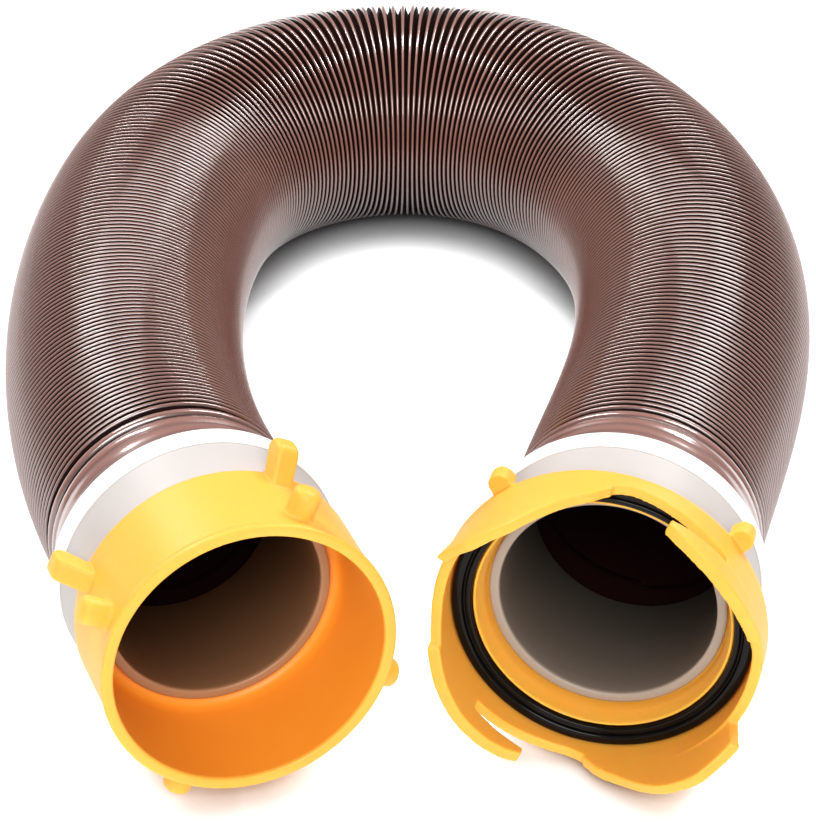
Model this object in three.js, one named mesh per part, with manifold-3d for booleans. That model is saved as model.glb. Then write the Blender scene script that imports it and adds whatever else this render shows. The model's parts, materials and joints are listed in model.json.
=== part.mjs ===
// A 3 inch sewer hose kit for a caravan or motorhome: a compressed accordion hose, laid in a U, with a
// swivelling lug fitting on its left end and a swivelling bayonet fitting on its right end.
// Millimetres, +Z up. The hose opens toward -Y and rests on the floor at z = 0.
import * as THREE from "three";
import { mergeVertices } from "three/addons/utils/BufferGeometryUtils.js";
import Module from "manifold-3d";

const wasm = await Module();
wasm.setup();

// ---------------------------------------------------------------- driving dimensions
const GAP = 0.3; // clearance left between pieces that touch or slide
const TURNED = 36; // sides of a turned part

// The hose: each modelled ridge stands for five or six real turns of the wire.
const HOSE = { crest: 45.7, valley: 43.4, bore: 40.8, ridge: 18, sides: 18 };
const CROWN_BEND = 10.67e-3; // curvature at the back of the U, in 1/mm
const BEND_STOPS = [0, 0.15, 0.3, 0.45, 0.65, 1]; // shares of a leg's bent part where its curvature is given
const TIP_UP = 0.1; // both ends point up by this angle, in radians
const STRAIGHT_END = 36; // the hub sleeve keeps this much of each end straight

// One leg runs from the back of the U to the rear edge of its collar. bends holds the curvature at each
// stop after the first; rise is how far the end lifts off the floor.
const LEGS = {
  left: { side: -1, length: 387, bends: [10.1e-3, 9.0e-3, 3.45e-3, 2.8e-3, 2.4e-3], rise: 9.0 },
  right: { side: 1, length: 390, bends: [10.67e-3, 6.1e-3, 5.75e-3, 3.75e-3, -1.2e-3], rise: 9.7 },
};

// Where one hose section ends and the next begins, as distances along a leg.
const CROWN_END = 52;
const SECTIONS = [
  ["hose_bend", CROWN_END, 142],
  ["hose_shoulder", 142, 162],
  ["hose_stretch", 162, 252],
  ["hose_shank", 252, 274],
  ["hose_lift", 274, 342],
];

// The end stack, along the axis of a fitting from the rear edge of its collar.
const HUB = {
  rear: -30, step: 14, lipRear: 25.3, front: 27.6, bore: 37.7, sleeve: 39.1, neck: 39.8, lip: 41.3,
};
const COLLAR = { band: 8.5, front: 28.4, rim: 51, edge: 50.2, coneRear: 49.6, coneFront: 48.6, wall: 46.6 };
const SHOULDER = { rear: 15.3, front: 18.6 }; // the ring inside the collar that the swivel runs against
const SEAL = { rear: 18.9, front: 21.1, bore: 40.2, outer: 43.2 };
const SWIVEL = { rear: 21.4, floor: 25.0, bore: 40.2, neck: 46.2, mouth: 28.7 };

const CUP = { outer: 50.4, rimRear: 64.5, rimOuter: 51.1, front: 68.4, bore: 47.0, floorBore: 45.4 };
const LUG = { from: 48.6, to: 60, radius: 5, along: 56.5, count: 4, first: 63 };

// A finger lever of the cup: its side outline as [distance from the axis, height], and its width.
const LEVER = { outline: [[49.4, 29.2], [59, 23], [62.4, 25], [62.4, 32.5], [53, 37], [49.4, 39]], width: 8 };

const RING = {
  outer: 56.6, wallBore: 52.8, wallRear: 40, base: 33.2, face: 36.4, groove: 45.0, skirt: 50.6, skirtEnd: 31.5,
};
const GASKET = { inner: 45.3, outer: 52.3, rear: 33.5, face: 37.8, hollow: 0.9 };
const TAB = { from: 55.5, to: 62.4, width: 8, rear: 29.5, front: 36, first: 40, count: 4 };

// The bayonet wall repeats after half a turn. Each list runs past the free tip of a claw, in degrees:
// the wall's front edge, the lobe that leans out of it, and the hooked claw that ends at the tip.
const CLAW_TIPS = [246, 66];
const WALL_EDGE = [
  [-26, 48], [-10, 46], [6, 43.5], [16, 42.5], [26, 46], [34, 49],
  [92, 49], [104, 47.5], [116, 48.5], [128, 54],
];
const LOBE = {
  rear: 44,
  edge: [[22, 45.5], [28, 51.2], [36, 54.9], [46, 60.8], [56, 65.7], [70, 67.2], [86, 59.8]],
  lean: [[22, 0], [56, 0], [70, 1.3], [86, 3.5]],
};
const CLAW = {
  outer: 57.4,
  root: 24, // where the slot behind the claw closes, in degrees before the tip
  front: [[-54, 55], [-42, 59.5], [-28, 61.5], [-14, 60.5], [-4, 58], [0, 55.5]],
  rear: [[-54, 50.5], [0, 52.6]],
};

// ---------------------------------------------------------------- materials
const finish = (color, roughness, metalness = 0) =>
  new THREE.MeshStandardMaterial({ color, roughness, metalness, side: THREE.FrontSide });
const BROWN_VINYL = finish(0x6a4a42, 0.3);
const WHITE_PLASTIC = finish(0xf1efee, 0.45);
const GREY_PLASTIC = finish(0xa39a92, 0.45);
const YELLOW_PLASTIC = finish(0xffc23c, 0.4);
const BLACK_RUBBER = finish(0x14110f, 0.35);

// ---------------------------------------------------------------- solids
// The value of a list of [place, value] stops at any place between the first and the last.
function between(stops, place) {
  const after = Math.max(1, stops.findIndex(([stop]) => stop >= place));
  const [low, lowValue] = stops[after - 1];
  const [high, highValue] = stops[after];
  return lowValue + ((highValue - lowValue) * (place - low)) / (high - low);
}

function toManifold(geometry) {
  const bare = geometry.clone();
  bare.deleteAttribute("normal");
  bare.deleteAttribute("uv");
  const merged = mergeVertices(bare, 1e-4);
  return new wasm.Manifold(
    new wasm.Mesh({
      numProp: 3,
      vertProperties: merged.attributes.position.array,
      triVerts: new Uint32Array(merged.index.array),
    }),
  );
}

function toGeometry(solid) {
  const mesh = solid.getMesh();
  const geometry = new THREE.BufferGeometry();
  geometry.setAttribute("position", new THREE.BufferAttribute(new Float32Array(mesh.vertProperties), 3));
  geometry.setIndex(new THREE.BufferAttribute(new Uint32Array(mesh.triVerts), 1));
  geometry.computeVertexNormals();
  return geometry;
}

const joined = (...geometries) => toGeometry(geometries.map(toManifold).reduce((a, b) => a.add(b)));

// A turned ring about Z from a closed outline of [radius, height] corners.
function turned(outline, sides = TURNED) {
  let area = 0;
  outline.forEach(([r, z], i) => {
    const [nextR, nextZ] = outline[(i + 1) % outline.length];
    area += r * nextZ - nextR * z;
  });
  const corners = area > 0 ? outline : [...outline].reverse();
  const points = [...corners, corners[0]].map(([r, z]) => new THREE.Vector2(r, z));
  return new THREE.LatheGeometry(points, sides).rotateX(Math.PI / 2);
}

// A curved wall about Z over part of a turn. low and high give its edges' heights at an angle past start,
// and lean gives how far its high edge leans out.
function sector({ inner, outer, start, from, to, steps, low, high, lean = () => 0 }) {
  const positions = [];
  for (let i = 0; i <= steps; i++) {
    const past = from + ((to - from) * i) / steps;
    const angle = THREE.MathUtils.degToRad(start + past);
    const out = lean(past);
    const [bottom, top] = [low(past), high(past)];
    const corners = [[inner, bottom], [outer, bottom], [outer + out, top], [inner + out, top]];
    for (const [r, z] of corners) positions.push(r * Math.cos(angle), r * Math.sin(angle), z);
  }
  const index = [0, 1, 2, 0, 2, 3];
  for (let i = 0; i < steps; i++) {
    for (let k = 0; k < 4; k++) {
      const a = 4 * i + k;
      const b = 4 * i + ((k + 1) % 4);
      index.push(a, a + 4, b, b, a + 4, b + 4);
    }
  }
  const last = 4 * steps;
  index.push(last, last + 2, last + 1, last, last + 3, last + 2);
  const geometry = new THREE.BufferGeometry();
  geometry.setAttribute("position", new THREE.Float32BufferAttribute(positions, 3));
  geometry.setIndex(index);
  return geometry;
}

// A block that stands out from the axis at an angle, with its outer end rounded across its width.
function paddle({ from, to, width, rear, front, angle }) {
  const half = width / 2;
  const shape = new THREE.Shape();
  shape.moveTo(from, -half);
  shape.lineTo(to - half, -half);
  shape.absarc(to - half, 0, half, -Math.PI / 2, Math.PI / 2, false);
  shape.lineTo(from, half);
  shape.closePath();
  const options = { depth: front - rear, bevelEnabled: false, curveSegments: 6 };
  const geometry = new THREE.ExtrudeGeometry(shape, options).translate(0, 0, rear);
  return geometry.rotateZ(THREE.MathUtils.degToRad(angle));
}

// A round peg that points away from the axis.
function peg({ from, to, radius, along, angle }) {
  const geometry = new THREE.CylinderGeometry(radius, radius, to - from, 12);
  geometry.rotateZ(-Math.PI / 2).translate((from + to) / 2, 0, along);
  return geometry.rotateZ(THREE.MathUtils.degToRad(angle));
}

// A plate that stands out from the axis at an angle, with the same outline on both of its sides.
function fin({ outline, width, angle }) {
  const shape = new THREE.Shape(outline.map(([r, z]) => new THREE.Vector2(r, z)));
  const geometry = new THREE.ExtrudeGeometry(shape, { depth: width, bevelEnabled: false });
  geometry.rotateX(Math.PI / 2).translate(0, width / 2, 0);
  return geometry.rotateZ(THREE.MathUtils.degToRad(angle));
}

const quarterTurns = (count, first) => Array.from({ length: count }, (_, i) => first + (i * 360) / count);

// ---------------------------------------------------------------- the route of the hose
function legRoute({ side, length, bends, rise }) {
  const bent = length - STRAIGHT_END;
  const curvatures = [CROWN_BEND, ...bends].map((bend, i) => [BEND_STOPS[i] * bent, bend]);
  const curvature = (s) => (s >= bent ? 0 : between(curvatures, s));
  // The hose lies flat, then curves up evenly to the slope of its straight end.
  const slope = Math.tan(TIP_UP);
  const endRise = rise - slope * STRAIGHT_END;
  const lifted = (2 * endRise) / slope;
  const height = (s) => {
    if (s >= bent) return endRise + slope * (s - bent);
    const beyond = Math.max(0, s - (bent - lifted));
    return (slope * beyond * beyond) / (2 * lifted);
  };
  const points = [];
  let heading = 0;
  let x = 0;
  let y = 0;
  for (let s = 0; s <= length; s++) {
    points.push(new THREE.Vector3(side * x, y, HOSE.crest + height(s)));
    const middle = heading + curvature(s + 0.5) / 2;
    x += Math.cos(middle);
    y -= Math.sin(middle);
    heading += curvature(s + 0.5);
  }
  return points;
}

const ROUTES = { left: legRoute(LEGS.left), right: legRoute(LEGS.right) };

// A place on a leg: its point, and the directions ahead, across and up.
function placeOn(leg, s) {
  const points = ROUTES[leg];
  const last = points.length - 1;
  const direction = (i) => {
    if (i === 0) return new THREE.Vector3(LEGS[leg].side, 0, 0);
    return new THREE.Vector3().subVectors(points[Math.min(i + 1, last)], points[i - 1]).normalize();
  };
  const i = Math.min(Math.floor(s), last - 1);
  const share = s - i;
  const point = new THREE.Vector3().lerpVectors(points[i], points[i + 1], share);
  const ahead = direction(i).lerp(direction(i + 1), Math.min(share, 1)).normalize();
  const across = new THREE.Vector3().crossVectors(ahead, new THREE.Vector3(0, 0, 1)).normalize();
  const up = new THREE.Vector3().crossVectors(across, ahead);
  return { point, ahead, across, up };
}

// A hose wall through a list of places, ridged outside and smooth inside.
function hoseWall(placeAt, from, to, ridged) {
  const length = to - from;
  const halfRidges = ridged ? Math.max(2, 2 * Math.round(length / HOSE.ridge)) : 4;
  const boreSteps = Math.max(1, Math.ceil(halfRidges / 3));
  const positions = [];
  const addRing = (s, radius) => {
    const { point, across, up } = placeAt(s);
    for (let k = 0; k < HOSE.sides; k++) {
      const angle = (2 * Math.PI * k) / HOSE.sides - Math.PI / 2;
      const edge = point.clone();
      edge.addScaledVector(across, radius * Math.cos(angle)).addScaledVector(up, radius * Math.sin(angle));
      positions.push(edge.x, edge.y, edge.z);
    }
  };
  for (let i = 0; i <= halfRidges; i++) {
    const radius = ridged && i % 2 === 0 ? HOSE.valley : HOSE.crest;
    addRing(from + (length * i) / halfRidges, radius);
  }
  for (let i = 0; i <= boreSteps; i++) addRing(to - (length * i) / boreSteps, HOSE.bore);
  const rings = halfRidges + boreSteps + 2;
  const index = [];
  for (let i = 0; i < rings; i++) {
    for (let k = 0; k < HOSE.sides; k++) {
      const next = (k + 1) % HOSE.sides;
      const a = i * HOSE.sides + k;
      const b = i * HOSE.sides + next;
      const c = ((i + 1) % rings) * HOSE.sides + k;
      const d = ((i + 1) % rings) * HOSE.sides + next;
      index.push(a, b, c, b, d, c);
    }
  }
  const geometry = new THREE.BufferGeometry();
  geometry.setAttribute("position", new THREE.Float32BufferAttribute(positions, 3));
  geometry.setIndex(index);
  return toManifold(geometry).volume() < 0 ? flipped(geometry) : geometry;
}

function flipped(geometry) {
  const index = geometry.index.array;
  for (let i = 0; i < index.length; i += 3) [index[i + 1], index[i + 2]] = [index[i + 2], index[i + 1]];
  return geometry;
}

// ---------------------------------------------------------------- turned pieces of the end stack
const hub = () =>
  turned([
    [HUB.bore, HUB.rear], [HUB.sleeve, HUB.rear], [HUB.sleeve, HUB.step], [HUB.neck, HUB.step],
    [HUB.neck, HUB.lipRear], [HUB.lip, HUB.lipRear], [HUB.lip, HUB.front - 1.1], [HUB.lip - 1, HUB.front],
    [HUB.bore + 1, HUB.front], [HUB.bore, HUB.front - 1],
  ]);

const collar = () =>
  turned([
    [HOSE.crest + GAP, 0], [COLLAR.rim - 0.8, 0], [COLLAR.rim, 1.2], [COLLAR.edge, COLLAR.band],
    [COLLAR.coneRear, COLLAR.band + 0.4], [COLLAR.coneFront, COLLAR.front], [COLLAR.wall, COLLAR.front],
    [COLLAR.wall, SHOULDER.front], [HUB.neck + GAP, SHOULDER.front], [HUB.neck + GAP, SHOULDER.rear],
    [HOSE.crest + GAP, SHOULDER.rear],
  ]);

const seal = () =>
  turned([
    [SEAL.bore, SEAL.rear + 0.4], [SEAL.bore + 0.5, SEAL.rear], [SEAL.outer - 0.5, SEAL.rear],
    [SEAL.outer, SEAL.rear + 0.5], [SEAL.outer, SEAL.front - 0.5], [SEAL.outer - 0.5, SEAL.front],
    [SEAL.bore + 0.5, SEAL.front], [SEAL.bore, SEAL.front - 0.4],
  ]);

function lugCup() {
  const shell = turned([
    [SWIVEL.bore, SWIVEL.rear], [SWIVEL.neck, SWIVEL.rear], [SWIVEL.neck, SWIVEL.mouth],
    [CUP.outer - 0.8, SWIVEL.mouth], [CUP.outer, SWIVEL.mouth + 0.8], [CUP.outer - 0.2, CUP.rimRear],
    [CUP.rimOuter, CUP.rimRear + 1], [CUP.rimOuter, CUP.front - 1], [CUP.rimOuter - 1.2, CUP.front],
    [CUP.bore + 1.2, CUP.front], [CUP.bore, CUP.front - 1.2], [CUP.floorBore, SWIVEL.floor + 4],
    [CUP.floorBore - 0.8, SWIVEL.floor + 1.4], [CUP.floorBore - 2.6, SWIVEL.floor],
    [SWIVEL.bore, SWIVEL.floor],
  ]);
  const angles = quarterTurns(LUG.count, LUG.first);
  const lugs = angles.map((angle) => peg({ ...LUG, angle }));
  const levers = angles.map((angle) => fin({ ...LEVER, angle }));
  return joined(shell, ...lugs, ...levers);
}

function bayonetRing() {
  const base = turned([
    [SWIVEL.bore, SWIVEL.rear], [SWIVEL.neck, SWIVEL.rear], [SWIVEL.neck, SWIVEL.mouth],
    [RING.skirt, SWIVEL.mouth], [RING.skirt + 0.6, RING.skirtEnd], [RING.outer, RING.base + 2],
    [RING.outer, RING.wallRear + 2], [RING.wallBore, RING.wallRear + 2], [RING.wallBore, RING.base],
    [RING.groove, RING.base], [RING.groove, RING.face], [RING.groove - 1, RING.face + 0.4],
    [HUB.lip + 1.2, SWIVEL.floor + 5], [HUB.lip + 1, SWIVEL.floor], [SWIVEL.bore, SWIVEL.floor],
  ]);
  const wall = { inner: RING.wallBore, outer: RING.outer };
  const span = (stops) => ({ from: stops[0][0], to: stops[stops.length - 1][0] });
  const pieces = [base];
  for (const start of CLAW_TIPS) {
    pieces.push(
      sector({
        ...wall, ...span(WALL_EDGE), start, steps: 26,
        low: () => RING.wallRear, high: (a) => between(WALL_EDGE, a),
      }),
      sector({
        ...wall, ...span(LOBE.edge), start, steps: 12,
        low: () => LOBE.rear, high: (a) => between(LOBE.edge, a), lean: (a) => between(LOBE.lean, a),
      }),
      sector({
        ...wall, ...span(CLAW.front), start, to: -CLAW.root, steps: 5,
        low: () => RING.wallRear, high: (a) => between(CLAW.front, a) - 0.6,
      }),
      sector({
        ...wall, ...span(CLAW.front), start, outer: CLAW.outer, steps: 9,
        low: (a) => between(CLAW.rear, a), high: (a) => between(CLAW.front, a),
      }),
    );
  }
  const tabs = quarterTurns(TAB.count, TAB.first).map((angle) => paddle({ ...TAB, angle }));
  return joined(...pieces, ...tabs);
}

const gasket = () =>
  turned([
    [GASKET.inner, GASKET.rear], [GASKET.outer, GASKET.rear], [GASKET.outer, GASKET.face - 0.8],
    [GASKET.outer - 1.2, GASKET.face], [GASKET.outer - 2.4, GASKET.face - GASKET.hollow],
    [GASKET.inner + 2.4, GASKET.face - GASKET.hollow], [GASKET.inner + 1.2, GASKET.face],
    [GASKET.inner, GASKET.face - 0.8],
  ]);

// ---------------------------------------------------------------- assembly
const kit = new THREE.Group();

function add(parent, name, geometry, material) {
  const mesh = new THREE.Mesh(geometry, material);
  mesh.name = name;
  parent.add(mesh);
}

// The crown is one section across the back of the U, made of the first stretch of both legs.
const crownPlace = (s) => {
  const place = placeOn(s < 0 ? "left" : "right", Math.abs(s));
  if (s < 0) {
    place.ahead.negate();
    place.across.negate();
  }
  return place;
};
add(kit, "hose_crown", hoseWall(crownPlace, -CROWN_END + GAP / 2, CROWN_END - GAP / 2, true), BROWN_VINYL);

for (const leg of ["left", "right"]) {
  const placeAt = (s) => placeOn(leg, s);
  for (const [name, from, to] of SECTIONS) {
    const wall = hoseWall(placeAt, from + GAP / 2, to - GAP / 2, true);
    add(kit, `${name}_${leg}`, wall, BROWN_VINYL);
  }
  const cuffFrom = SECTIONS[SECTIONS.length - 1][2] + GAP / 2;
  const cuff = hoseWall(placeAt, cuffFrom, LEGS[leg].length + SHOULDER.rear - GAP, false);
  add(kit, `hose_cuff_${leg}`, cuff, BROWN_VINYL);

  const { point, ahead, across, up } = placeAt(LEGS[leg].length);
  const stack = new THREE.Group();
  stack.applyMatrix4(new THREE.Matrix4().makeBasis(across.negate(), up, ahead).setPosition(point));
  kit.add(stack);
  add(stack, `hub_${leg}`, hub(), GREY_PLASTIC);
  add(stack, `collar_${leg}`, collar(), WHITE_PLASTIC);
  add(stack, `swivel_seal_${leg}`, seal(), BLACK_RUBBER);
  if (leg === "left") {
    add(stack, "lug_cup", lugCup(), YELLOW_PLASTIC);
  } else {
    add(stack, "bayonet_ring", bayonetRing(), YELLOW_PLASTIC);
    add(stack, "bayonet_gasket", gasket(), BLACK_RUBBER);
  }
}

// The origin is the middle of the footprint, on the floor.
kit.updateMatrixWorld(true);
const box = new THREE.Box3().setFromObject(kit, true);
const middle = box.getCenter(new THREE.Vector3());
kit.position.set(-middle.x, -middle.y, -box.min.z);

const root = new THREE.Group();
root.add(kit);

export default root;
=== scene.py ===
"""A 3 inch sewer hose kit: a compressed accordion hose laid in a U, a lug cup on its left end and a
bayonet fitting on its right end. Lengths are millimetres in the row frame, and M turns them into metres."""

import json
import math

import bpy
import numpy as np
from mathutils import Matrix, Vector


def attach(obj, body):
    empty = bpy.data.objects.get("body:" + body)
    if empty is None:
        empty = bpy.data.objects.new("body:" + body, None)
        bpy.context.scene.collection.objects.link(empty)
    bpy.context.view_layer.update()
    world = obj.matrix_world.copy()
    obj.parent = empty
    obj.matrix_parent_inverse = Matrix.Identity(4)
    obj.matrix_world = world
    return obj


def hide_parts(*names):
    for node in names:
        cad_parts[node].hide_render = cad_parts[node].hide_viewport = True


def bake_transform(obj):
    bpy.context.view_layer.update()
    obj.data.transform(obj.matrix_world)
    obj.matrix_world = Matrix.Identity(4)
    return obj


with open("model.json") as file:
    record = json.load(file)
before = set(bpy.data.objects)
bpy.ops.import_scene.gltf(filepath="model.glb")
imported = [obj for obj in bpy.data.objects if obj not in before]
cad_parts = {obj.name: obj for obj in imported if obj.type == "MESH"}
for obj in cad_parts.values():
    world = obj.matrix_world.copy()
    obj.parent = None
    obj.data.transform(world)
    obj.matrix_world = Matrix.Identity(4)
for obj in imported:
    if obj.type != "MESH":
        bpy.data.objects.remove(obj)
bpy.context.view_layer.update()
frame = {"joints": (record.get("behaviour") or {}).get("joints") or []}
M = 0.001
JOINTS = {joint["name"]: joint for joint in frame["joints"]}

# ---------------------------------------------------------------- the route of the hose
CREST = 45.7  # radius over the ridges
CROWN_BEND = 10.67e-3  # curvature at the back of the U, in 1/mm
BEND_STOPS = (0, 0.15, 0.3, 0.45, 0.65, 1)  # where curvatures are given, as shares of a leg's bent length
TIP_UP = 0.1  # slope of each end, as an angle in radians
STRAIGHT_END = 36  # the last stretch of a leg, which doesn't bend
# bends are the curvatures at the stops after the first. rise is how far the end lies above the crown.
LEGS = {
    "left": {"side": -1, "length": 387, "bends": (10.1e-3, 9.0e-3, 3.45e-3, 2.8e-3, 2.4e-3), "rise": 9.0},
    "right": {"side": 1, "length": 390, "bends": (10.67e-3, 6.1e-3, 5.75e-3, 3.75e-3, -1.2e-3), "rise": 9.7},
}
TUCKED = 14  # how far the hose runs on inside each collar
ZONES = [("crown", 0, 52), ("bend", 52, 142), ("shoulder", 142, 162), ("stretch", 162, 252),
         ("shank", 252, 274), ("lift", 274, 342), ("cuff", 342, None)]


def leg_curvature(leg, s):
    """Curvature in plan at a distance s along a leg, in 1/mm."""
    bent = LEGS[leg]["length"] - STRAIGHT_END
    knots = (CROWN_BEND, *LEGS[leg]["bends"])
    return np.where(s >= bent, 0, np.interp(s, np.multiply(BEND_STOPS, bent), knots))


def leg_points(leg):
    """Points every millimetre along a leg, from the back of the U to just inside its collar."""
    side, length, rise = (LEGS[leg][key] for key in ("side", "length", "rise"))
    bent = length - STRAIGHT_END
    slope = math.tan(TIP_UP)
    end_rise = rise - slope * STRAIGHT_END
    lifted = 2 * end_rise / slope
    s = np.arange(length + TUCKED + 2)
    middle_bend = leg_curvature(leg, s + 0.5)
    heading = np.concatenate([[0], np.cumsum(middle_bend)[:-1]])
    middle = heading + middle_bend / 2
    x = np.concatenate([[0], np.cumsum(np.cos(middle))[:-1]])
    y = -np.concatenate([[0], np.cumsum(np.sin(middle))[:-1]])
    beyond = np.maximum(0, s - (bent - lifted))
    z = np.where(s >= bent, end_rise + slope * (s - bent), slope * beyond**2 / (2 * lifted))
    return np.stack([side * x, y, CREST + z], axis=-1)


LEG_POINTS = {leg: leg_points(leg) for leg in LEGS}
# The swivel of the lug cup sits at the left leg's end, which places the route in the row frame.
ORIGIN = np.array(JOINTS["lug_swivel"]["pos_m"]) / M - LEG_POINTS["left"][LEGS["left"]["length"]]

# One line from the left end over the crown to the right end. A station is negative on the left leg.
LINE = np.concatenate([LEG_POINTS["left"][:0:-1], LEG_POINTS["right"]]) + ORIGIN
FIRST = 1 - len(LEG_POINTS["left"])
STATIONS = np.arange(FIRST, FIRST + len(LINE))
AHEAD = np.gradient(LINE, axis=0)
AHEAD /= np.linalg.norm(AHEAD, axis=1)[:, None]
BENDS = np.where(STATIONS < 0, leg_curvature("left", -STATIONS), leg_curvature("right", STATIONS))


def along(table, station):
    """A row of a table that has one entry per millimetre, at any station."""
    if table.ndim == 1:
        return np.interp(station, STATIONS, table)
    return np.stack([np.interp(station, STATIONS, column) for column in table.T], axis=-1)


def directions(station):
    """The directions ahead, across (toward the inside of the U) and up at a station."""
    ahead = along(AHEAD, station)
    ahead /= np.linalg.norm(ahead, axis=-1)[..., None]
    across = np.cross(ahead, (0, 0, 1))
    across /= np.linalg.norm(across, axis=-1)[..., None]
    return ahead, across, np.cross(across, ahead)


# ---------------------------------------------------------------- meshes
def mesh_object(name, vertices, faces):
    """A new smooth-shaded object from points in millimetres."""
    mesh = bpy.data.meshes.new(name)
    mesh.from_pydata((np.asarray(vertices, float) * M).tolist(), [], faces)
    mesh.polygons.foreach_set("use_smooth", [True] * len(mesh.polygons))
    mesh.update()
    piece = bpy.data.objects.new(name, mesh)
    bpy.context.scene.collection.objects.link(piece)
    return piece


def finish_piece(piece, finish):
    piece.data.materials.clear()
    piece.data.materials.append(finish)
    return piece


def apply_modifiers(piece):
    """Bakes a piece's modifiers into its mesh."""
    evaluated = piece.evaluated_get(bpy.context.evaluated_depsgraph_get())
    mesh = bpy.data.meshes.new_from_object(evaluated)
    piece.modifiers.clear()
    piece.data = mesh


# ---------------------------------------------------------------- materials
def material(name, base, roughness, **sockets):
    """A principled material. Returns it with its node tree and shader."""
    made = bpy.data.materials.new(name)
    made.use_nodes = True
    shader = made.node_tree.nodes["Principled BSDF"]
    shader.inputs["Base Color"].default_value = (*base, 1)
    shader.inputs["Roughness"].default_value = roughness
    for key, value in sockets.items():
        shader.inputs[key.replace("_", " ")].default_value = value
    return made, made.node_tree, shader


def add_node(tree, kind, **values):
    made = tree.nodes.new(kind)
    for key, value in values.items():
        made.inputs[key.replace("_", " ")].default_value = value
    return made


def color_ramp(tree, low, high, start=0.0, end=1.0):
    """A ramp node from one colour to another."""
    made = tree.nodes.new("ShaderNodeValToRGB")
    first, last = made.color_ramp.elements
    first.position = start
    first.color = (*low, 1)
    last.position = end
    last.color = (*high, 1)
    return made


def mottle(tree, shader, low, high, scale):
    """Colour that drifts between two tones over the surface."""
    place = tree.nodes.new("ShaderNodeTexCoord")
    noise = add_node(tree, "ShaderNodeTexNoise", Scale=scale, Detail=3)
    ramp = color_ramp(tree, low, high, 0.35, 0.65)
    tree.links.new(place.outputs["Object"], noise.inputs["Vector"])
    tree.links.new(noise.outputs["Fac"], ramp.inputs["Fac"])
    tree.links.new(ramp.outputs["Color"], shader.inputs["Base Color"])


def grain(tree, shader, scale, strength, distance):
    """A fine moulded grain in the surface."""
    place = tree.nodes.new("ShaderNodeTexCoord")
    noise = add_node(tree, "ShaderNodeTexNoise", Scale=scale, Detail=2)
    bump = add_node(tree, "ShaderNodeBump", Strength=strength, Distance=distance)
    tree.links.new(place.outputs["Object"], noise.inputs["Vector"])
    tree.links.new(noise.outputs["Fac"], bump.inputs["Height"])
    tree.links.new(bump.outputs["Normal"], shader.inputs["Normal"])


def mix_by_attribute(tree, shader, attribute, low):
    """Base colour that goes from low to the mix's input B with an attribute of the mesh. Returns the mix."""
    amount = tree.nodes.new("ShaderNodeAttribute")
    amount.attribute_name = attribute
    blend = tree.nodes.new("ShaderNodeMix")
    blend.data_type = "RGBA"
    blend.inputs["A"].default_value = (*low, 1)
    tree.links.new(amount.outputs["Fac"], blend.inputs["Factor"])
    tree.links.new(blend.outputs["Result"], shader.inputs["Base Color"])
    return blend


def brown_vinyl():
    """Glossy brown vinyl with painted shade: nearly black in the valleys and inside, and darker underneath,
    as a mesh attribute falls.
    """
    made, tree, shader = material(
        "brown_vinyl", (0.2, 0.1, 0.08), 0.3, Specular_IOR_Level=0.8, Coat_Weight=1.0, Coat_Roughness=0.12,
        Coat_IOR=1.8)
    place = tree.nodes.new("ShaderNodeTexCoord")
    noise = add_node(tree, "ShaderNodeTexNoise", Scale=30, Detail=3)
    tones = color_ramp(tree, (0.235, 0.094, 0.070), (0.295, 0.125, 0.096))
    # painted shade: the near-black colour where the attribute is 0
    blend = mix_by_attribute(tree, shader, "ridge", (0.010, 0.004, 0.003))
    tree.links.new(place.outputs["Object"], noise.inputs["Vector"])
    tree.links.new(noise.outputs["Fac"], tones.inputs["Fac"])
    tree.links.new(tones.outputs["Color"], blend.inputs["B"])
    return made


FINE_GRAIN = (1000, 0.05, 0.0002)  # scale, strength and height of the grain in moulded plastic


def moulded_plastic(name, low, high, roughness, scatter=0.0, radius=(1, 1, 1)):
    """Satin moulded plastic that drifts between two tones, with a fine grain."""
    made, tree, shader = material(
        name, high, roughness, Subsurface_Weight=scatter, Subsurface_Scale=0.004, Specular_IOR_Level=0.35)
    shader.inputs["Subsurface Radius"].default_value = radius
    mottle(tree, shader, low, high, 25)
    grain(tree, shader, *FINE_GRAIN)
    return made


def hub_plastic(name, near, deep):
    """Satin plastic with painted shade that darkens into the bore: near where the open attribute is 1, deep
    where it is 0.
    """
    made, tree, shader = material(name, near, 0.4)
    blend = mix_by_attribute(tree, shader, "open", deep)
    blend.inputs["B"].default_value = (*near, 1)
    grain(tree, shader, *FINE_GRAIN)
    return made


def black_rubber():
    made, tree, shader = material("black_rubber", (0.003, 0.003, 0.003), 0.13, Specular_IOR_Level=0.15)
    mottle(tree, shader, (0.003, 0.0025, 0.002), (0.005, 0.0045, 0.004), 60)
    grain(tree, shader, 700, 0.03, 0.0002)
    return made


BROWN = brown_vinyl()
# painted shade: a dark, dull copy of the vinyl for the faces deep in the valleys
VALLEY_PAINTED_SHADE, _, _ = material("valley_painted_shade", (0.014, 0.004, 0.003), 0.6, Specular_IOR_Level=0.08)
YELLOW = moulded_plastic(
    "yellow_plastic", (1.0, 0.45, 0.055), (1.0, 0.475, 0.065), 0.46, scatter=0.5, radius=(1.0, 0.5, 0.08))
# painted light: a deeper orange copy of the yellow for the inside of the lug cup, standing in for its shade
# and the light bounced between its yellow walls
YELLOW_PAINTED_BOUNCE = moulded_plastic("yellow_plastic_painted_bounce", (0.95, 0.325, 0.026), (0.97, 0.345, 0.03), 0.42)
WHITE = moulded_plastic("white_plastic", (0.88, 0.87, 0.88), (0.92, 0.91, 0.92), 0.42)
# painted shade: a shaded copy of the white plastic, for the cone of each collar
SHADED = moulded_plastic("shaded_plastic", (0.50, 0.465, 0.445), (0.54, 0.50, 0.48), 0.5)
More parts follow.
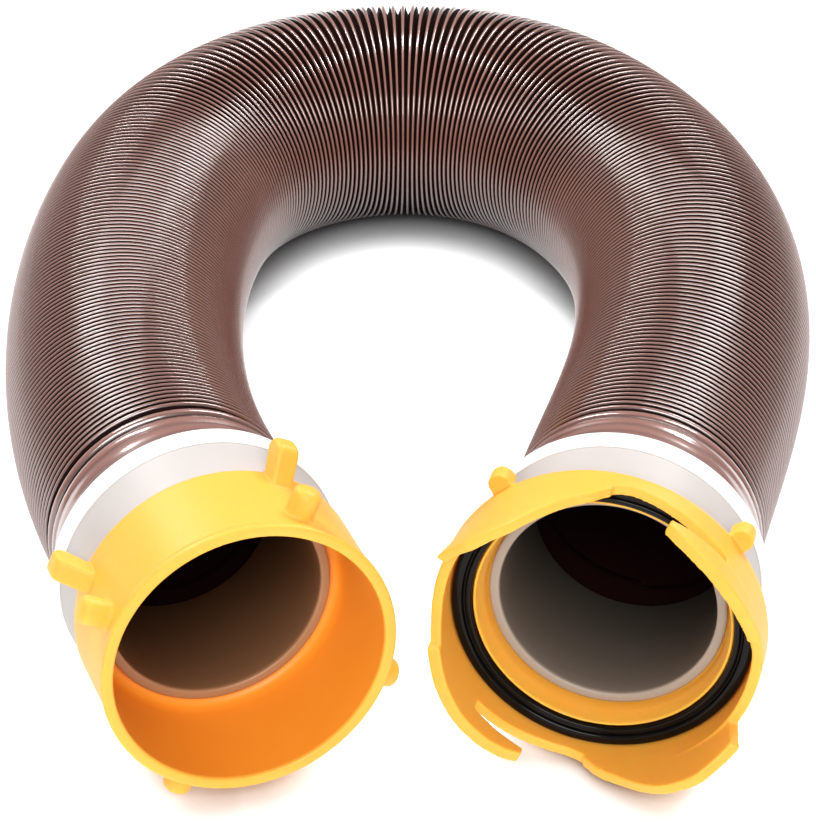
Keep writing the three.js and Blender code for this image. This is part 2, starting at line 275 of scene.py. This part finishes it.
# The deep tones are painted shade in the bores.
HUB_PLASTIC = {
    # painted light: the left hub's grey is warmed by light bounced off the yellow cup
    "left": hub_plastic("grey_plastic_painted_bounce", (0.36, 0.20, 0.10), (0.06, 0.027, 0.011)),
    "right": hub_plastic("grey_plastic", (0.34, 0.29, 0.24), (0.04, 0.033, 0.026)),
}
BLACK = black_rubber()

# ---------------------------------------------------------------- the hose
SIDES = 72
# Round the hose, 0 is toward the inside of the U and a quarter turn is up. A section's helix starts
# underneath, so that the step at its end is out of sight.
ANGLES = -np.pi / 2 + np.arange(SIDES) * 2 * np.pi / SIDES
ROWS = 10  # rows of points to one turn of the wire
RIDGE_HALF = 0.6  # half the thickness of a ridge between close turns
CLOSE = 3.2  # pitch up to which turns count as close
THICKEN = 0.42  # how fast a ridge's half thickness grows with the pitch past CLOSE
THICKEN_OVER = 2.3  # how far past CLOSE it grows
RIDGE_SHARE = 0.455  # the most of a pitch that half a ridge takes, so that ridges never touch
DEEP = 4.8  # depth of the valley between two open turns
PRESSED = 0.6  # depth that is left where turns are pressed together
OPENING = 4  # how much deeper a valley gets for each millimetre of gap between ridges
CUFF_WIDEN = 0.8  # how much wider a ridge is where its valleys are filled
SIDE_SHARE = 0.9  # how far down the valley the sides of a ridge reach
LINING = 40.1  # inner radius
LINING_WAVE = 1.2
# Distance between turns along the centreline: (distance along the leg, pitch).
PITCHES = {
    "left": [(0, 3.8), (90, 3.7), (140, 2.55), (240, 2.5), (300, 2.7), (350, 2.9), (357, 3.1), (361, 6.2),
             (387, 5.6)],
    "right": [(0, 3.8), (90, 3.7), (140, 2.9), (240, 2.85), (300, 2.9), (355, 3.0), (361, 3.4), (366, 5.2)],
}
# Near a collar the valleys fill out into a smooth cuff: (distance back from CUFF, depth of a valley).
CUFF = {"left": 12, "right": 14}
CUFF_DEPTH = [(-4, 0.15), (3, 0.3), (6, 0.9), (8.5, 1.2), (10.5, 3.6), (13, 4.6), (20, 4.8)]
# Rows of one turn: (offset from the ridge in half thicknesses, drop below the crest in half thicknesses).
RIDGE_ROWS = [(-1.08, 2.2), (-1.0, 1.05), (-0.76, 0.36), (-0.40, 0.08), (0, 0), (0.40, 0.08), (0.76, 0.36),
              (1.0, 1.05), (1.08, 2.2)]
ROW_PAINTED_LIGHT = [0, 0, 0.1, 0.55, 1, 1, 1, 0.55, 0.1, 0]  # how lit each row is in the painted valley shade, from the valley on: 0 is painted shade, 1 the full brown
MID_PAINTED_LIGHT = 0.85  # how lit a ridge is at mid height, in the painted shade that darkens the underside
PAINTED_LIGHT_TILT = 1.3  # how much lighter the painted light makes it up to the top
UNDER_PAINTED_LIGHT = 0.2  # how lit it is underneath, where the painted shade is darkest
CUFF_PAINTED_LIGHT = 0.8  # how lit the filled valleys of the cuff are, spared most of the painted valley shade
CUFF_SHADE_DEPTH = 2.5  # valleys deeper than this get none of the cuff's relief from the painted valley shade
PAINTED_SHADE_LIMIT = 0.06  # faces lit less than this get the dark painted valley shade material

pitch_table = np.where(
    STATIONS < 0, np.interp(-STATIONS, *zip(*PITCHES["left"])), np.interp(STATIONS, *zip(*PITCHES["right"])))
TURNS = np.concatenate([[0], np.cumsum(2 / (pitch_table[1:] + pitch_table[:-1]))])


def past_cuff(station):
    """Distance back from the smooth cuff at the nearer collar."""
    left = LEGS["left"]["length"] - CUFF["left"]
    right = LEGS["right"]["length"] - CUFF["right"]
    return np.where(station < 0, left + station, right - station)


def hose_point(turn, angle, row):
    """A point of the outer skin: row 0 is the valley before the ridge of that turn."""
    lead = angle / (2 * np.pi)
    if row == 0:
        station = np.interp(turn + lead, TURNS, STATIONS)
    else:
        station = np.interp(turn + 0.5 + lead, TURNS, STATIONS)
    crowding = 1 - along(BENDS, station) * CREST * np.cos(angle)
    pitch = along(pitch_table, station) * crowding
    cuff = np.interp(past_cuff(station), *zip(*CUFF_DEPTH))
    half = np.minimum(RIDGE_HALF + THICKEN * np.clip(pitch - CLOSE, 0, THICKEN_OVER), RIDGE_SHARE * pitch)
    gap = pitch - 2 * half
    depth = np.minimum(np.minimum(DEEP, PRESSED + OPENING * gap), cuff)
    wide = half * (1 + CUFF_WIDEN * np.clip((DEEP - cuff) / DEEP, 0, 1))
    if row == 0:
        return station, CREST - depth
    offset, drop = RIDGE_ROWS[row - 1]
    return station + offset * wide / crowding, CREST - np.minimum(drop * half, SIDE_SHARE * depth)


def lining_point(turn, angle, row):
    """A point of the inner skin, which waves a little with each turn."""
    station = np.interp(turn + row / 2 + angle / (2 * np.pi), TURNS, STATIONS)
    return station, LINING + LINING_WAVE * row * np.ones_like(angle)


def ridge_values(first, last):
    """How lit each point of an outer skin is in its painted shade: the valleys are painted dark, the cuff's
    filled valleys are spared it and the underside darkens.
    """
    full_rows = (last - first) * ROWS + 1
    values = []
    for k in range(full_rows + ROWS):
        at = ANGLES if k < full_rows else ANGLES[:1]
        station, _ = hose_point(first + k // ROWS, at, k % ROWS)
        shallow = 1 - np.clip(np.interp(past_cuff(station), *zip(*CUFF_DEPTH)) / CUFF_SHADE_DEPTH, 0, 1)
        height_light = np.clip(MID_PAINTED_LIGHT + PAINTED_LIGHT_TILT * np.sin(at), UNDER_PAINTED_LIGHT, 1)
        values.append(np.maximum(ROW_PAINTED_LIGHT[k % ROWS], CUFF_PAINTED_LIGHT * shallow) * height_light)
    return np.concatenate(values)


def skin(point, rows, first, last):
    """Vertex rows of a helical skin between two whole turns, and the index of (row, side)."""
    full_rows = (last - first) * rows + 1
    vertices = []
    for k in range(full_rows + rows):
        at = ANGLES if k < full_rows else ANGLES[:1]
        station, radius = point(first + k // rows, at, k % rows)
        _, across, up = directions(station)
        outward = across * np.cos(at)[:, None] + up * np.sin(at)[:, None]
        vertices.append(along(LINE, station) + outward * radius[:, None])

    def index(row, side):
        if side == SIDES:
            row, side = row + rows, 0
        return row * SIDES + side if row < full_rows else full_rows * SIDES + row - full_rows

    return np.concatenate(vertices), index, full_rows


def hose_piece(name, first, last):
    """A closed helical shell of hose between two whole turns."""
    outer, outer_index, outer_rows = skin(hose_point, ROWS, first, last)
    inner, inner_index, inner_rows = skin(lining_point, 2, first, last)
    step = len(outer)
    faces = []
    for k in range(outer_rows - 1):
        for j in range(SIDES):
            corners = ((k, j), (k + 1, j), (k + 1, j + 1), (k, j + 1))
            faces.append([outer_index(*corner) for corner in corners])
    for k in range(inner_rows - 1):
        for j in range(SIDES):
            corners = ((k, j + 1), (k + 1, j + 1), (k + 1, j), (k, j))
            faces.append([step + inner_index(*corner) for corner in corners])
    skin_faces = len(faces)
    # The end walls follow the helix round, then step back one turn along the hose.
    for j in range(SIDES):
        faces.append([outer_index(0, j), outer_index(0, j + 1), step + inner_index(0, j + 1),
                      step + inner_index(0, j)])
        k, i = outer_rows - 1, inner_rows - 1
        faces.append([step + inner_index(i, j), step + inner_index(i, j + 1), outer_index(k, j + 1),
                      outer_index(k, j)])
    for k, i, turned in ((0, 0, False), (outer_rows - 1, inner_rows - 1, True)):
        wall = [outer_index(k + n, 0) for n in range(ROWS + 1)]
        wall += [step + inner_index(i + n, 0) for n in (2, 1, 0)]
        faces.append(wall if turned else wall[::-1])
    piece = mesh_object(name, np.concatenate([outer, inner]), faces)
    # Flat end walls leave the shading of the skin beside them alone, so sections meet without a mark.
    piece.data.polygons.foreach_set("use_smooth", [i < skin_faces for i in range(len(faces))])
    # painted shade: the outer skin by the values above, and the whole lining at 0, dark as if in shadow
    ridge = piece.data.attributes.new("ridge", "FLOAT", "POINT")
    ridge.data.foreach_set("value", np.concatenate([ridge_values(first, last), np.zeros(len(inner))]))
    return piece


def finish_hose(piece):
    """Vinyl all over, with the dark painted valley shade material on the faces deepest in the painted shade.
    """
    finish_piece(piece, BROWN)
    piece.data.materials.append(VALLEY_PAINTED_SHADE)
    ridge = np.zeros(len(piece.data.vertices))
    piece.data.attributes["ridge"].data.foreach_get("value", ridge)
    shaded_faces = [ridge[list(polygon.vertices)].mean() < PAINTED_SHADE_LIMIT for polygon in piece.data.polygons]
    piece.data.polygons.foreach_set("material_index", np.array(shaded_faces, dtype=np.int32))
    return piece


def whole_turn(station):
    return int(round(float(np.interp(station, STATIONS, TURNS))))


def route_point(station):
    return along(LINE, np.array([float(station)]))[0]


# Sections baked in place and not attached to a body: (body at the near end, body at the far end, how much of
# each end stays rigid); only their names are read.
BLENDS = {
    "bend": ("crown", "{}_leg", 18),
    "stretch": ("{}_leg", "{}_shank", 5),
    "lift": ("{}_shank", "{}_end", 8),
}
RIDES = {"shoulder": "{}_leg", "shank": "{}_shank", "cuff": "{}_end"}


def build_hose():
    crown_end = ZONES[0][2]
    crown = hose_piece("hose_crown_skin", whole_turn(-crown_end), whole_turn(crown_end))
    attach(finish_hose(crown), "crown")
    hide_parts("hose_crown")
    for leg in LEGS:
        side = LEGS[leg]["side"]
        for zone, near, far in ZONES[1:]:
            far = LEGS[leg]["length"] + TUCKED - 1 if far is None else far
            turns = sorted(whole_turn(side * s) for s in (near, far))
            if zone == "cuff" and side > 0:
                # The far end of a helix leads by most of a turn and would run past its collar's inner step.
                turns[1] -= 1
            piece = hose_piece(f"hose_{zone}_{leg}_skin", *turns)
            finish_hose(piece)
            if zone in BLENDS:
                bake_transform(piece)
            else:
                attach(piece, RIDES[zone].format(leg))
            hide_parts(f"hose_{zone}_{leg}")


# ---------------------------------------------------------------- turned pieces
def rounded(outline, steps=5):
    """A closed outline of (radius, height, fillet) corners with each corner turned into an arc."""
    points = []
    count = len(outline)
    for i, (r, z, fillet) in enumerate(outline):
        here = np.array([r, z], float)
        back = np.array(outline[i - 1][:2], float) - here
        on = np.array(outline[(i + 1) % count][:2], float) - here
        reach_back, reach_on = np.linalg.norm(back), np.linalg.norm(on)
        cut = min(fillet, 0.49 * reach_back, 0.49 * reach_on)
        if cut < 1e-3:
            points.append(here)
            continue
        a, b = here + back / reach_back * cut, here + on / reach_on * cut
        for t in np.linspace(0, 1, steps):
            points.append((1 - t) ** 2 * a + 2 * t * (1 - t) * here + t**2 * b)
    return np.array(points)


def lathe(outline, sides=160):
    """Vertices and faces of a ring turned about Z, closed, with its faces pointing out."""
    profile = rounded(outline)
    r, z = profile.T
    area = np.sum(r * np.roll(z, -1) - np.roll(r, -1) * z)
    if area < 0:
        profile = profile[::-1]
    count = len(profile)
    angles = np.arange(sides) * 2 * np.pi / sides
    vertices = [(r * math.cos(a), r * math.sin(a), z) for a in angles for r, z in profile]
    faces = []
    for i in range(sides):
        for k in range(count):
            near, far = i * count, ((i + 1) % sides) * count
            faces.append([near + k, far + k, far + (k + 1) % count, near + (k + 1) % count])
    return np.array(vertices), faces


def fitting_matrix(leg):
    """Places a fitting: its axis runs out of the end of the leg, from the rear edge of the collar."""
    side = LEGS[leg]["side"]
    station = side * LEGS[leg]["length"]
    ahead, across, up = (d[0] for d in directions(np.array([float(station)])))
    origin = route_point(station) * M
    rows = [[-side * across[i], up[i], side * ahead[i], origin[i]] for i in range(3)]
    return Matrix(rows + [[0, 0, 0, 1]])


MATRICES = {leg: fitting_matrix(leg) for leg in LEGS}


def place_on_fitting(piece, leg):
    piece.data.transform(MATRICES[leg])


# Outlines are (radius, height, fillet) corners. Height 0 is the rear edge of the collar.
BORE = 37.7
HUB = [(BORE, -30, 0.5), (39.1, -30, 0.5), (39.1, 14, 0.2), (39.8, 14, 0.2), (39.8, 25.3, 0.2),
       (41.3, 25.3, 0.8), (41.3, 27.6, 1.4), (BORE, 27.6, 1.4), (BORE, 25.5, 0), (BORE, 20, 0), (BORE, 8, 0),
       (BORE, -10, 0)]
# How open to the light the bore of a hub is, which sets its painted shade: (height, share).
OPEN = [(-30, 0), (-5, 0.1), (8, 0.22), (20, 0.38), (25.5, 0.55), (26.9, 1)]
COLLAR = [(46.0, 0, 0.4), (51.0, 0, 1.0), (50.3, 8.5, 0.4), (49.7, 8.7, 0.3), (48.7, 28.4, 0.8),
          (46.6, 28.4, 0.8), (46.6, 18.6, 0.4), (40.1, 18.6, 0.4), (40.1, 15.3, 0.4), (46.0, 15.3, 0.4)]
SEAL = [(40.2, 18.9, 0.5), (43.2, 18.9, 0.5), (43.2, 21.1, 0.5), (40.2, 21.1, 0.5)]
GASKET = [(45.3, 33.5, 0.4), (52.3, 33.5, 0.4), (52.3, 38.1, 1.6), (48.7, 38.1, 1.6), (48.1, 36.6, 0.3),
          (47.6, 36.6, 0.3), (47.2, 37.9, 0.9), (45.3, 37.9, 0.9)]


def second_finish(piece, finish, low, high, inner, outer):
    """Gives a second material to the faces between two heights and two radii, before a piece is placed."""
    piece.data.materials.append(finish)
    for polygon in piece.data.polygons:
        x, y, z = polygon.center / M
        if low < z < high and inner < math.hypot(x, y) < outer:
            polygon.material_index = 1


def turned_piece(name, outline, leg, finish, slot, body, *nodes, second=None):
    points, faces = lathe(outline)
    piece = mesh_object(name, points, faces)
    finish_piece(piece, finish)
    if outline is HUB:
        # painted shade: the bore darkens with depth, after OPEN
        in_bore = np.hypot(points[:, 0], points[:, 1]) < BORE + 0.5
        share = np.where(in_bore, np.interp(points[:, 2], *zip(*OPEN)), 1.0)
        piece.data.attributes.new("open", "FLOAT", "POINT").data.foreach_set("value", share)
    if second:
        second_finish(piece, **second)
    place_on_fitting(piece, leg)
    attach(piece, body)
    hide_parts(*nodes)


def build_turned():
    cone = {"finish": SHADED, "low": 8.6, "high": 29, "inner": 46, "outer": 51}
    for leg in LEGS:
        end = f"{leg}_end"
        turned_piece(f"hub_{leg}_turned", HUB, leg, HUB_PLASTIC[leg], "grey_plastic", end, f"hub_{leg}")
        turned_piece(f"collar_{leg}_turned", COLLAR, leg, WHITE, "white_plastic", end, f"collar_{leg}",
                     second=cone)
        turned_piece(f"swivel_seal_{leg}_turned", SEAL, leg, BLACK, "black_rubber", end,
                     f"swivel_seal_{leg}")
    turned_piece("bayonet_gasket_turned", GASKET, "right", BLACK, "black_rubber", "bayonet_fitting",
                 "bayonet_gasket")


# ---------------------------------------------------------------- moulded pieces
def joined_bodies(name, bodies):
    """One object out of several closed bodies that overlap."""
    vertices, faces = [], []
    for points, polygons in bodies:
        start = sum(len(v) for v in vertices)
        vertices.append(np.asarray(points, float))
        faces += [[start + i for i in polygon] for polygon in polygons]
    return mesh_object(name, np.concatenate(vertices), faces)


def moulded(name, bodies, voxel=0.5, passes=6):
    """Overlapping bodies grown into one skin with softly rounded edges."""
    piece = joined_bodies(name, bodies)
    remesh = piece.modifiers.new("one_skin", "REMESH")
    remesh.mode = "VOXEL"
    remesh.voxel_size = voxel * M
    remesh.use_smooth_shade = True
    soften = piece.modifiers.new("soften", "SMOOTH")
    soften.factor = 0.5
    soften.iterations = passes
    apply_modifiers(piece)
    return piece


def turn_about_axis(points, degrees):
    a = math.radians(degrees)
    x, y, z = np.asarray(points, float).T
    return np.stack([x * math.cos(a) - y * math.sin(a), x * math.sin(a) + y * math.cos(a), z], axis=-1)


def domed_peg(start, tip, radius, along_axis, angle, sides=24):
    """A round peg that points away from the axis, with a domed tip."""
    dome = 0.5 * radius
    stations = [(start, 1.0), (tip - dome, 1.0)]
    stations += [(tip - dome * (1 - math.sin(t)), math.cos(t) ** 0.7) for t in np.radians([20, 40, 60, 78])]
    rings = []
    for reach, share in stations:
        turn = np.arange(sides) * 2 * np.pi / sides
        ring = np.stack([np.full(sides, reach), radius * share * np.cos(turn),
                         along_axis + radius * share * np.sin(turn)], axis=-1)
        rings.append(ring)
    faces = [list(range(sides))[::-1]]
    for i in range(len(rings) - 1):
        for k in range(sides):
            n = (k + 1) % sides
            faces.append([i * sides + k, i * sides + n, (i + 1) * sides + n, (i + 1) * sides + k])
    faces.append([(len(rings) - 1) * sides + k for k in range(sides)])
    return turn_about_axis(np.concatenate(rings), angle), faces


def paddle(start, tip, width, rear, front, angle, steps=14):
    """A block that stands out from the axis, rounded at its outer end."""
    half = width / 2
    turn = np.linspace(-math.pi / 2, math.pi / 2, steps)
    outline = [(start, -half)] + [(tip - half + half * math.cos(t), half * math.sin(t)) for t in turn]
    outline += [(start, half)]
    count = len(outline)
    points = [(x, y, z) for z in (rear, front) for x, y in outline]
    faces = [list(range(count))[::-1], [count + k for k in range(count)]]
    faces += [[k, (k + 1) % count, count + (k + 1) % count, count + k] for k in range(count)]
    return turn_about_axis(points, angle), faces


# How a fin is rounded over: (inset from its side face, scale of its outline there).
FIN_LAYERS = [(0, 0.80), (0.3, 0.90), (0.9, 0.97), (1.8, 1)]
FIN_FILLET = 2.5


def fin(outline, width, angle):
    """A plate that stands out from the axis, with the same (radius, height) outline on both sides."""
    corners = rounded([(r, z, FIN_FILLET) for r, z in outline])
    middle = corners.mean(axis=0)
    count = len(corners)
    points = []
    for inset, shrink in FIN_LAYERS:
        points.append((width / 2 - inset, middle + (corners - middle) * shrink))
    points += [(-y, layer) for y, layer in reversed(points)]
    layers = len(points)
    vertices = [(r, y, z) for y, layer in points for r, z in layer]
    faces = [list(range(count))[::-1], [(layers - 1) * count + k for k in range(count)]]
    for i in range(layers - 1):
        for k in range(count):
            near, far, n = i * count, (i + 1) * count, (k + 1) % count
            faces.append([near + k, near + n, far + n, far + k])
    return turn_about_axis(vertices, angle), faces


def stops(table):
    """A smooth function of an angle through (degrees, value) stops."""
    places, values = zip(*table)

    def value(angle):
        near = np.interp([angle - 2, angle - 1, angle, angle + 1, angle + 2], places, values)
        return float(near.mean())

    return value


def span(table):
    """The first and the last angle of a table."""
    return table[0][0], table[-1][0]


def curved_wall(inner, outer, tip, start, end, low, high, lean=0, step=1.5):
    """A wall about the axis, from start to end in degrees past tip.

    low and high are its edges along the axis and lean is how far its high edge stands out. Each of them is
    a number, or a function of the angle.
    """
    def value(what, past):
        return what(past) if callable(what) else what

    count = max(2, int(round((end - start) / step)))
    points = []
    for past in np.linspace(start, end, count + 1):
        c, s = math.cos(math.radians(tip + past)), math.sin(math.radians(tip + past))
        out, bottom, top = value(lean, past), value(low, past), value(high, past)
        for r, z in ((inner, bottom), (outer, bottom), (outer + out, top), (inner + out, top)):
            points.append((r * c, r * s, z))
    faces = [[0, 1, 2, 3], [4 * count + k for k in (3, 2, 1, 0)]]
    for i in range(count):
        for k in range(4):
            n = (k + 1) % 4
            faces.append([4 * i + k, 4 * (i + 1) + k, 4 * (i + 1) + n, 4 * i + n])
    return np.array(points), faces


CUP = [(40.2, 21.4, 0.4), (46.2, 21.4, 0.4), (46.2, 28.7, 0.3), (50.4, 28.7, 0.8), (50.2, 64.5, 0.5),
       (51.1, 65.6, 0.5), (51.1, 68.4, 1.0), (47.0, 68.4, 1.0), (45.4, 29.0, 2.0), (44.6, 26.4, 0.8),
       (42.8, 25.0, 0.6), (40.2, 25.0, 0.5)]
QUARTERS = (0, 90, 180, 270)
LUG_ANGLE = 63
LUG = {"start": 48.6, "tip": 60.2, "radius": 5, "along_axis": 56.5}
LEVER_WIDTH = 8
LEVER = [(49.4, 29.2), (59, 23), (62.4, 25), (62.4, 32.5), (53, 37), (49.4, 39)]
TAB_ANGLE = 40
TAB = {"start": 55.5, "tip": 62.4, "width": 8, "rear": 29.5, "front": 36}


def build_lug_cup():
    bodies = [lathe(CUP, 200)]
    for quarter in QUARTERS:
        angle = LUG_ANGLE + quarter
        bodies.append(domed_peg(**LUG, angle=angle))
        bodies.append(fin(LEVER, LEVER_WIDTH, angle))
    piece = moulded("lug_cup_moulded", bodies)
    finish_piece(piece, YELLOW)
    # painted shade and bounce light on the inside of the cup
    second_finish(piece, YELLOW_PAINTED_BOUNCE, low=24, high=66.8, inner=40, outer=48)
    place_on_fitting(piece, "left")
    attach(piece, "lug_fitting")
    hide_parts("lug_cup")


RING_BASE = [(40.2, 21.4, 0.4), (46.2, 21.4, 0.4), (46.2, 28.7, 0.3), (50.6, 28.7, 0.8), (51.2, 31.5, 0.8),
             (56.6, 35.2, 2.0), (56.6, 42, 0.2), (52.8, 42, 0.2), (52.8, 33.2, 0.4), (45.0, 33.2, 0.4),
             (45.0, 36.4, 0.4), (44.0, 36.8, 0.4), (42.5, 30.0, 0.8), (42.3, 25.0, 0.6), (40.2, 25.0, 0.5)]
# Heights and lean of the bayonet wall, its lobes and its claws, in degrees past the free tip of a claw.
CLAW_TIPS = (246, 66)
WALL = (52.8, 56.6)
WALL_REAR = 40
WALL_EDGE = [(-26, 48), (-10, 46), (6, 43.5), (16, 42.5), (26, 46), (34, 49), (92, 49), (104, 47.5),
             (116, 48.5), (128, 54)]
LOBE_EDGE = [(22, 45.5), (28, 51.2), (36, 54.9), (46, 60.8), (56, 65.7), (70, 67.2), (86, 59.8)]
LOBE_LEAN = [(22, 0), (56, 0), (70, 1.3), (86, 3.5)]
LOBE_REAR = 44
CLAW_OUTER = 57.4
CLAW_FRONT = [(-54, 55), (-42, 59.5), (-28, 61.5), (-14, 60.5), (-4, 58), (0, 55.5)]
CLAW_REAR = [(-54, 50.5), (0, 52.6)]
CLAW_ROOT = -24  # the claw hangs free past this angle
ROOT_STEP = 0.6  # how far the wall stays behind the front edge of the claw


def build_bayonet_ring():
    bodies = [lathe(RING_BASE, 200)]
    root_edge = stops([(past, front - ROOT_STEP) for past, front in CLAW_FRONT])
    lobe_edge, lobe_lean = stops(LOBE_EDGE), stops(LOBE_LEAN)
    claw_rear, claw_front = stops(CLAW_REAR), stops(CLAW_FRONT)
    for tip in CLAW_TIPS:
        bodies.append(curved_wall(*WALL, tip, *span(WALL_EDGE), WALL_REAR, stops(WALL_EDGE)))
        bodies.append(curved_wall(*WALL, tip, *span(LOBE_EDGE), LOBE_REAR, lobe_edge, lobe_lean))
        bodies.append(curved_wall(*WALL, tip, CLAW_FRONT[0][0], CLAW_ROOT, WALL_REAR, root_edge))
        bodies.append(curved_wall(WALL[0], CLAW_OUTER, tip, *span(CLAW_FRONT), claw_rear, claw_front))
    for quarter in QUARTERS:
        bodies.append(paddle(**TAB, angle=TAB_ANGLE + quarter))
    piece = moulded("bayonet_ring_moulded", bodies)
    place_on_fitting(piece, "right")
    finish_piece(piece, YELLOW)
    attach(piece, "bayonet_fitting")
    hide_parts("bayonet_ring")


# ---------------------------------------------------------------- studio
CAMERA_AT = (-0.85, -999.1, 729.9)
CAMERA_PITCH = 0.624  # how far the view looks down, in radians
LENS = 137.77
FRAMING_SHIFT = 0.0089


def build_camera():
    camera = bpy.data.objects.new("camera", bpy.data.cameras.new("camera"))
    bpy.context.scene.collection.objects.link(camera)
    camera.location = Vector(CAMERA_AT) * M
    camera.rotation_euler = (math.pi / 2 - CAMERA_PITCH, 0, 0)
    camera.data.sensor_fit = "HORIZONTAL"
    camera.data.sensor_width = 36
    camera.data.lens = LENS
    camera.data.shift_y = FRAMING_SHIFT
    camera.data.clip_end = 50
    bpy.context.scene.camera = camera


def area_light(name, at, toward, size, power):
    lamp = bpy.data.lights.new(name, "AREA")
    lamp.shape = "RECTANGLE"
    lamp.size, lamp.size_y = size
    lamp.energy = power
    light = bpy.data.objects.new(name, lamp)
    bpy.context.scene.collection.objects.link(light)
    light.location = at
    light.rotation_euler = (Vector(toward) - Vector(at)).to_track_quat("-Z", "Y").to_euler()


FLOOR_HALF = 6  # metres
# how far the AO of the painted contact shadow reaches, in metres
COVER = 0.019
WHITE_FLOOR = (0.55, 0.55, 0.555)


def pale_floor():
    # Painted contact shadow: the AO darkens the floor's colour and fades its glow where the hose and
    # fittings are close.
    made, tree, shader = material("pale_floor", WHITE_FLOOR, 0.9)
    covered = tree.nodes.new("ShaderNodeAmbientOcclusion")
    covered.inputs["Distance"].default_value = COVER
    painted_glow = color_ramp(tree, (0, 0, 0), (1, 1, 1), 0.33, 0.88)
    shade = color_ramp(tree, (0.03, 0.03, 0.03), WHITE_FLOOR, 0.05, 0.3)
    tree.links.new(covered.outputs["AO"], shade.inputs["Fac"])
    tree.links.new(shade.outputs["Color"], shader.inputs["Base Color"])
    tree.links.new(covered.outputs["AO"], painted_glow.inputs["Fac"])
    tree.links.new(painted_glow.outputs["Color"], shader.inputs["Emission Color"])
    shader.inputs["Emission Strength"].default_value = 0.8
    return made


def build_studio():
    world = bpy.data.worlds.new("studio")
    bpy.context.scene.world = world
    world.use_nodes = True
    world.node_tree.nodes["Background"].inputs["Color"].default_value = (1, 1, 1, 1)
    world.node_tree.nodes["Background"].inputs["Strength"].default_value = 0.3
    corners = np.array([(-1, -1, 0), (1, -1, 0), (1, 1, 0), (-1, 1, 0)]) * FLOOR_HALF / M
    floor = mesh_object("floor", corners, [(0, 1, 2, 3)])
    floor.data.materials.append(pale_floor())
    for name, x in (("back_left", -0.8), ("back_right", 0.8)):
        area_light(name, (x, 0.8, 1.3), (0, 0.1, 0), (0.22, 0.9), 20)
    area_light("front", (0, -1.5, 1.2), (0, -0.1, 0), (1.2, 0.7), 28)
    bpy.context.scene.view_settings.view_transform = "Standard"


build_camera()
build_hose()
build_turned()
build_lug_cup()
build_bayonet_ring()
build_studio()
